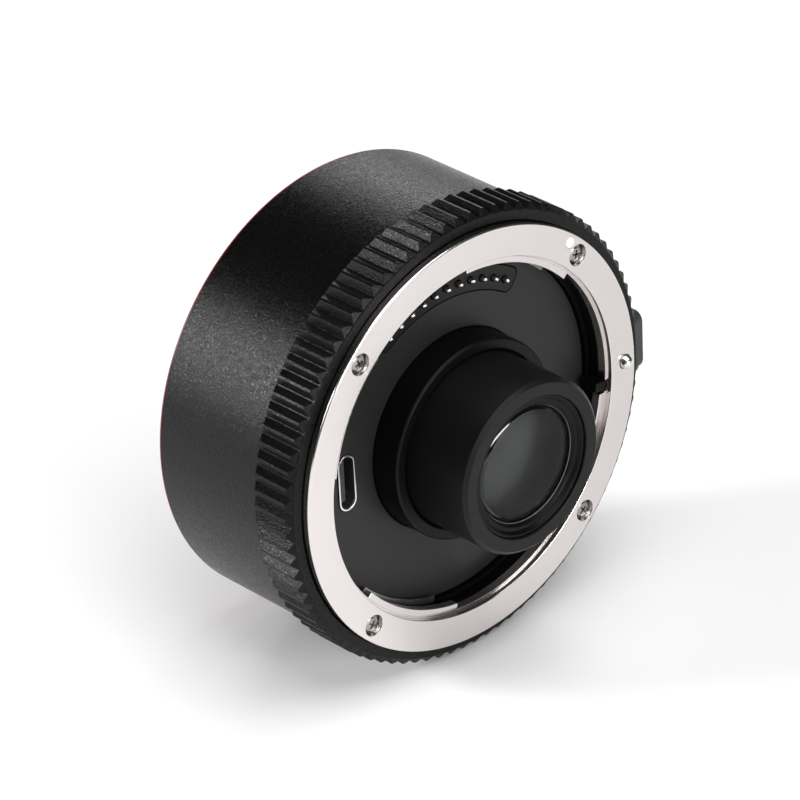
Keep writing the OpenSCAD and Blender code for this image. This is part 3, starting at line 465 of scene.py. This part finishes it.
holes = [rod(m["headHole"], m["headFloor"], m["face"] + past, (m["screwCircle"], a))
         for a in m["screwAngles"]]
holes += [rod(m["shankHole"], m["back"] - past, m["headFloor"] + m["overlap"], (m["screwCircle"], a))
          for a in m["screwAngles"]]
holes.append(rod(m["pinHole"], m["back"] - past, m["face"] + past, (m["pinAt"], 0)))
holes.append(rod(m["dotHole"], m["dotFloor"], m["face"] + past, (m["dotCircle"], m["dotAngle"])))
holes.append(arcBlock(m["tab"], m["notchOuter"], m["back"] - past, m["notchTop"], m["notchStart"],
                      m["notchSweep"], 8))
for hole in holes:
    combine(mountRing, hole, "DIFFERENCE")
edgeRound(mountRing, m["edge"])
settle(mountRing, mountMetal, "mount_metal", "lens_mount_ring")
print("lens mount made")

# pan-head cross screws, the same on both mounts
screwSet = dict(head=1.45, headHigh=1.0, shank=0.8, crossLong=1.9, crossWide=0.42, crossDeep=0.62,
                taper=0.45, turns=(12, 71, 38, 55), lensShank=4.0, lensTop=30.0, rearShank=2.8,
                rearCircle=28.8, rearTop=0.3)
s = screwSet


def screwShape(shankLong):
    dome = [(0, 0), (0.45, -0.02), (0.85, -0.09), (1.15, -0.22), (1.35, -0.4), (s["head"], -0.62)]
    end = -s["headHigh"] - shankLong
    body = lathe(dome + [(s["head"], -s["headHigh"]), (s["shank"], -s["headHigh"]), (s["shank"], end),
                         (0, end)], 48, closed=False)
    screw = asPiece("screw", body)
    for quarter in (0, pi / 2):
        bar = slab((s["crossLong"], 2 * s["crossDeep"], s["crossWide"]), (0, 0, 0))
        for v in bar.verts:
            if v.co.y > 0:
                v.co.x *= s["taper"]
                v.co.z *= s["taper"]
        bmesh.ops.rotate(bar, verts=bar.verts, cent=(0, 0, 0), matrix=Matrix.Rotation(quarter, 3, "Y"))
        combine(screw, bar, "DIFFERENCE")
    bm = bmesh.new()
    bm.from_mesh(screw.data)
    bpy.data.objects.remove(screw)
    return bm


def screwPlaces(circle, top, flip):
    for angle, turn in zip(m["screwAngles"], s["turns"]):
        yield (Matrix.Translation(spot(circle, angle, top)) @ Matrix.Rotation(pi if flip else 0, 4, "X")
               @ Matrix.Rotation(radians(turn), 4, "Y"))


lensPlaces = screwPlaces(m["screwCircle"], s["lensTop"], False)
settle(asPiece("lensMountScrews", copies(screwShape(s["lensShank"]), lensPlaces)), screwSteel, "screw_steel",
       "lens_mount_screws")
rearPlaces = screwPlaces(s["rearCircle"], s["rearTop"], True)
settle(asPiece("rearMountScrews", copies(screwShape(s["rearShank"]), rearPlaces)), screwSteel, "screw_steel",
       "rear_mount_screws")
settle(cadCopy("indexDots", "index_dots", 0.06), whiteEnamel, "white_enamel", "index_dots")
print("screws made")

# spring contacts: round-nosed pins with a shoulder
pinSet = dict(circle=22.6, middle=90, pitch=6.05, count=11, radius=0.4, tip=26.25, shoulder=0.46, tail=21.9,
              shoulderHigh=0.8)
p = pinSet


def pinSpot(i):
    return spot(p["circle"], p["middle"] - (i - (p["count"] + 1) / 2) * p["pitch"], 0)


for i in range(1, p["count"] + 1):
    bends = [pi * k / 12 for k in range(7)]
    nose = [(p["radius"] * sin(bend), p["tip"] - p["radius"] * (1 - cos(bend))) for bend in bends]
    ledge = p["tail"] + p["shoulderHigh"]
    shape = lathe(nose + [(p["radius"], ledge), (p["shoulder"], ledge), (p["shoulder"], p["tail"]),
                          (0, p["tail"])], 32, closed=False)
    bmesh.ops.translate(shape, verts=shape.verts, vec=pinSpot(i))
    settle(asPiece("contactPin%d" % i, shape), contactGold, "contact_gold", "contact_pin_%d" % i,
           body="contact_pin_%d" % i)
print("contacts made")

# protruding optics
noseSet = dict(outer=13.25, bore=10.8, lip=9.3, back=23.1, lipTop=24.7, front=41.6, chamfer=0.55,
               boreEdge=0.25)
n = noseSet
shape = lathe([(n["lip"], n["back"]), (n["outer"], n["back"]), (n["outer"], n["front"]),
               (n["bore"], n["front"]), (n["bore"], n["lipTop"]), (n["lip"], n["lipTop"])], 192)
soften(shape, n["chamfer"], 1, ringEdges(shape, n["outer"], n["front"]))
soften(shape, n["boreEdge"], 3, ringEdges(shape, n["bore"], n["front"]))
settle(asPiece("noseBarrel", shape), noseSatin, "black_metal", "nose_barrel")

retainerSet = dict(inner=8.9, outer=10.75, back=39.9, front=41.2, rim=0.4, step=0.5, lead=0.3, edge=0.07,
                   lip=0.06)
r = retainerSet
shape = lathe([(r["inner"], r["back"]), (r["outer"], r["back"]), (r["outer"], r["front"]),
               (r["outer"] - r["rim"], r["front"]), (r["outer"] - 2 * r["rim"], r["front"] - r["step"]),
               (r["inner"] + r["step"], r["front"] - r["step"]),
               (r["inner"] + r["lip"], r["back"] + r["lead"] + r["lip"]),
               (r["inner"], r["back"] + r["lead"] - r["lip"])], 160)
soften(shape, r["edge"], 2, ringEdges(shape, r["outer"], r["front"])
       + ringEdges(shape, r["outer"] - r["rim"], r["front"])
       + ringEdges(shape, r["inner"] + r["step"], r["front"] - r["step"]))
retainer = settle(asPiece("frontRetainingRing", shape), retainerBlack, "black_metal", "front_retaining_ring")
retainer.data.materials.append(lipPaintedHighlight)                  # thin lip next to the glass, painted lighter grey as a highlight along the glass edge
for face in retainer.data.polygons:
    if abs(face.center.y + (r["back"] + r["lead"]) * mm) < 0.5 * r["lip"] * mm:
        face.material_index = 1

# glasses: low and high rim, front and back sag of each
glassSet = dict(frontRim=10.65, frontClear=8.8, rearRim=10.05, rearClear=8.7, rings=48, edgeFall=9,
                edgeSharp=15, backFrom=38.5, inkFrom=8.25, first=(37.1, 39.9, 0.8, 0.4),
                second=(32.7, 34.5, -0.4, -0.6), sixth=(3.4, 6.4, 0.7, 0.5), last=(0.95, 3.35, -0.52, 0.4))
o = glassSet


def lensShape(rim, clear, low, high, frontSag, backSag, fall=2):
    steps = [k / o["rings"] for k in range(o["rings"] + 1)]
    front = [(clear * k, high + frontSag * (1 - k ** fall)) for k in steps]
    back = [(clear * k, low - backSag * (1 - k * k)) for k in reversed(steps)]
    return lathe(front + [(rim, high), (rim, low)] + back, 160, closed=False)


shape = lensShape(o["frontRim"], o["frontClear"], *o["first"], o["edgeFall"])
frontGlass = settle(asPiece("frontElement", shape), coatedGlass, "glass", "front_element",
                    sharp=o["edgeSharp"])
frontGlass.data.materials.append(clearGlass)              # its back face is matched to the glass behind it
frontGlass.data.materials.append(edgeGlass)               # inked edge of the glass
for face in frontGlass.data.polygons:
    if face.center.y > -o["backFrom"] * mm:
        face.material_index = 1
    elif Vector((face.center.x, face.center.z)).length > o["inkFrom"] * mm:
        face.material_index = 2
# inner elements in the opaque dark finish: painted shade instead of a view through them
shape = lensShape(o["frontRim"], o["frontClear"], *o["second"])
settle(asPiece("lensElement2", shape), innerLensPaintedShade, "glass", "lens_element_2")
shape = lensShape(o["rearRim"], o["rearClear"], *o["sixth"])
settle(asPiece("lensElement6", shape), innerLensPaintedShade, "glass", "lens_element_6")
shape = lensShape(o["rearRim"], o["rearClear"], *o["last"])
settle(asPiece("rearElement", shape), coatedGlass, "glass", "rear_element")
settle(cadCopy("opticsBase", "optics_base", 0.05), blackMetal, "black_metal", "optics_base")
settle(cadCopy("rearLensTube", "rear_lens_tube", 0.15, 3), blackMetal, "black_metal", "rear_lens_tube")
settle(cadCopy("rearRetainingRing", "rear_retaining_ring", 0.15, 3), blackMetal, "black_metal",
       "rear_retaining_ring")
print("optics made")

# plate, contact holder, socket and stop: moulded edges
plateSet = dict(inner=15.45, outer=26.4, back=24.1, front=25.3, edge=0.07, blockIn=20.87, blockOut=24.55,
                blockLow=21.3, blockStart=54.4, blockSweep=71.2, corner=1.15, seam=0.17, pinHole=0.6,
                flange=0.6, flangeTop=24.05, flangeSink=0.01, flangeTurn=1, socketAt=(-20.5, -24.7, 0.0),
                socketHole=(3.46, 4.0, 9.14), socketCorner=1.72)
k = plateSet
shape = lathe([(k["inner"], k["back"]), (k["outer"], k["back"]), (k["outer"], k["front"]),
               (k["inner"], k["front"])], 192)
plate = asPiece("bafflePlate", shape)
seamTurn = k["seam"] / k["blockOut"] * 180 / pi
opening = roundArc(k["blockIn"] - k["seam"], k["blockOut"] + k["seam"], k["back"] - past, k["front"] + past,
                   k["blockStart"] - seamTurn, k["blockSweep"] + 2 * seamTurn, k["corner"] + k["seam"])
combine(plate, opening, "DIFFERENCE")
combine(plate, roundSlab(k["socketHole"], k["socketAt"], k["socketCorner"], along=1), "DIFFERENCE")
edgeRound(plate, k["edge"])
settle(plate, plateMatt, "black_plastic", "baffle_plate")

shape = roundArc(k["blockIn"], k["blockOut"], k["blockLow"], k["front"], k["blockStart"], k["blockSweep"],
                 k["corner"])
holder = asPiece("contactBlock", shape)
flange = roundArc(k["blockIn"] - k["flange"], k["blockOut"] + k["flange"], k["blockLow"] + k["flangeSink"],
                  k["flangeTop"], k["blockStart"] - k["flangeTurn"], k["blockSweep"] + 2 * k["flangeTurn"],
                  k["corner"])
combine(holder, flange, "UNION")
for i in range(p["count"]):
    angle = p["middle"] + (i - (p["count"] - 1) / 2) * p["pitch"]
    hole = rod(k["pinHole"], k["blockLow"] - past, k["front"] + past, (p["circle"], angle), 24)
    combine(holder, hole, "DIFFERENCE")
edgeRound(holder, k["edge"])
settle(holder, blackPlastic, "black_plastic", "contact_block")
settle(cadCopy("usbShell", "usb_shell", 0.07), socketSteel, "socket_steel", "usb_shell")
settle(cadCopy("usbTongue", "usb_tongue", 0.06), tongueGrey, "black_plastic", "usb_tongue")
settle(cadCopy("rotationStop", "rotation_stop", 0.12), retainerBlack, "black_plastic", "rotation_stop")
settle(cadCopy("lockPin", "lock_pin", 0), socketSteel, "socket_steel", "lock_pin", body="lock_pin")
print("inner parts made")

# release button: rounded cap on its stem, forked round the lock pin
buttonSet = dict(bottom=34.95, top=36.75, high=4.8, wide=9.4, corner=1.6, edge=0.5, middle=-25.5,
                 capSpace=(4, 8, 12))
u = buttonSet
cap = roundSlab((u["top"] - u["bottom"], u["high"], u["wide"]),
                ((u["top"] + u["bottom"]) / 2, u["middle"], 0), u["corner"])
soften(cap, u["edge"], 4, [e for e in cap.edges if all(v.co.x > (u["top"] - 0.01) * mm for v in e.verts)])
button = cadCopy("releaseButton", "release_button", 0)
capCentre = (u["bottom"] + u["capSpace"][0] / 2, u["middle"], 0)
combine(button, slab(u["capSpace"], capCentre), "DIFFERENCE")
combine(button, cap, "UNION")
settle(button, buttonGrey, "black_plastic", "release_button", body="release_button")
settle(cadCopy("buttonBezel", "button_bezel", 0.15, 3), buttonGrey, "black_plastic", "button_bezel")
print("button made")

# return springs: copied from the imported springs, each contact's spring cut out near its pin
springSet = dict(buttonTravel=1.3, pinTravel=0.7, slack=0.02, reach=1.1)


def springPiece(name, node, near=None):
    bm = bmesh.new()
    bm.from_mesh(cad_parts[node].data)
    bmesh.ops.remove_doubles(bm, verts=bm.verts, dist=0.001 * mm)
    if near:
        reach = springSet["reach"] * mm
        others = [v for v in bm.verts if Vector((v.co.x - near.x, v.co.z - near.z)).length > reach]
        bmesh.ops.delete(bm, geom=others, context="VERTS")
    spring = settle(asPiece(name, bm), springSteel, "spring_steel", node)
    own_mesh(spring)


springPiece("buttonSprings", "button_springs")
springPiece("lockPinSpring", "lock_pin_spring")
for i in range(1, p["count"] + 1):
    springPiece("contactSpring%d" % i, "contact_springs",
                pinSpot(i))
print("springs made")

# camera side: male bayonet, contact holder and light baffle
rearSet = dict(bore=24.3, spigot=25.9, tip=-5.5, face=0.0, flange=31.9, seat=2.5, rim=0.18, tab=27.2,
               tabRoot=25.1, tabLow=-3.7, tabHigh=-2.5, tabMargin=2, tabEdge=0.12, edge=0.06, headFloor=1.3,
               pinAt=30.3, recess=1.25, recessFloor=2.0, dotAngle=70, dotFloor=0.2)
q = rearSet
shape = lathe([(q["bore"], q["seat"]), (q["bore"], q["tip"]), (q["spigot"], q["tip"]),
               (q["spigot"], q["face"]), (q["flange"], q["face"]), (q["flange"], q["seat"])], 240)
soften(shape, q["rim"], 3, ringEdges(shape, q["flange"], q["face"]) + ringEdges(shape, q["spigot"], q["tip"])
       + ringEdges(shape, q["bore"], q["tip"]))
rearRing = asPiece("rearMountRing", shape)
for start, sweep in zip(m["starts"], m["sweeps"]):
    tab = arcBlock(q["tabRoot"], q["tab"], q["tabLow"], q["tabHigh"], start + q["tabMargin"],
                   sweep - 2 * q["tabMargin"], 32)
    soften(tab, q["tabEdge"], 3)
    combine(rearRing, tab, "UNION")
holes = [rod(m["headHole"], -past, q["headFloor"], (s["rearCircle"], a)) for a in m["screwAngles"]]
holes += [rod(m["shankHole"], q["headFloor"] - m["overlap"], q["seat"] + past, (s["rearCircle"], a))
          for a in m["screwAngles"]]
holes.append(rod(q["recess"], -past, q["recessFloor"], (q["pinAt"], 0)))
holes.append(rod(m["dotHole"], -past, q["dotFloor"], (s["rearCircle"], q["dotAngle"])))
for hole in holes:
    combine(rearRing, hole, "DIFFERENCE")
edgeRound(rearRing, q["edge"])
settle(rearRing, mountMetal, "mount_metal", "rear_mount_ring")
settle(cadCopy("rearContactBlock", "rear_contact_block", 0.2, 3), blackPlastic, "black_plastic",
       "rear_contact_block")
settle(cadCopy("rearContactPads", "rear_contact_pads", 0.06), contactGold, "contact_gold",
       "rear_contact_pads")
settle(cadCopy("rearCover", "rear_cover", 0.15, 3), plateMatt, "black_plastic", "rear_cover")
print("camera side made")

# camera, floor and light
cameraSet = dict(at=(-427.9, -484.8, 367.0), right=(0.7225, -0.6901, -0.0417), up=(0.3714, 0.3366, 0.8653),
                 forward=(0.5832, 0.6407, -0.4995), lens=230.0, sensor=36.0, near=10.0, far=20000.0)
camera = bpy.data.objects.new("camera", bpy.data.cameras.new("camera"))
camera.data.lens = cameraSet["lens"]
camera.data.sensor_width = cameraSet["sensor"]
camera.data.clip_start = cameraSet["near"] * mm
camera.data.clip_end = cameraSet["far"] * mm
turn = Matrix((cameraSet["right"], cameraSet["up"], -Vector(cameraSet["forward"]))).transposed()
camera.matrix_world = Matrix.Translation(Vector(cameraSet["at"]) * mm) @ turn.to_4x4()
bpy.context.scene.collection.objects.link(camera)
bpy.context.scene.camera = camera

floorSet = dict(size=6000.0, height=-34.95)
floorMesh = bmesh.new()
bmesh.ops.create_grid(floorMesh, x_segments=2, y_segments=2, size=floorSet["size"] / 2 * mm)
bmesh.ops.translate(floorMesh, verts=floorMesh.verts, vec=(0, 0, floorSet["height"] * mm))
floor = asPiece("floor", floorMesh)
floor.data.materials.append(makeFinish("paleFloor", (0.9, 0.9, 0.9), 0.7, tint=0.01, patch=80.0, grain=1.0))

# area lights: where each stands, its size and its power
lightSet = {
    "leftStrip": dict(at=(-900, 700, 420), size=(320, 320), power=13.0),
    "backStrip": dict(at=(860, 820, 470), size=(500, 300), power=3.0),
    "topSoft": dict(at=(0, -520, 1500), size=(1500, 1500), power=24.0),
    "frontFill": dict(at=(-40, -1250, 325), size=(900, 160), power=12.0),
}
for name, light in lightSet.items():
    lamp = bpy.data.lights.new(name, "AREA")
    lamp.shape = "RECTANGLE"
    lamp.size = light["size"][0] * mm
    lamp.size_y = light["size"][1] * mm
    lamp.energy = light["power"]
    holder = bpy.data.objects.new(name, lamp)
    holder.location = Vector(light["at"]) * mm
    holder.rotation_euler = (-holder.location).to_track_quat("-Z", "Y").to_euler()
    bpy.context.scene.collection.objects.link(holder)
world = bpy.data.worlds.new("studio")
world.use_nodes = True
world.node_tree.nodes["Background"].inputs["Color"].default_value = (1, 1, 1, 1)
world.node_tree.nodes["Background"].inputs["Strength"].default_value = 0.05
bpy.context.scene.world = world
bpy.context.scene.view_settings.view_transform = "Standard"
print("stage lit")
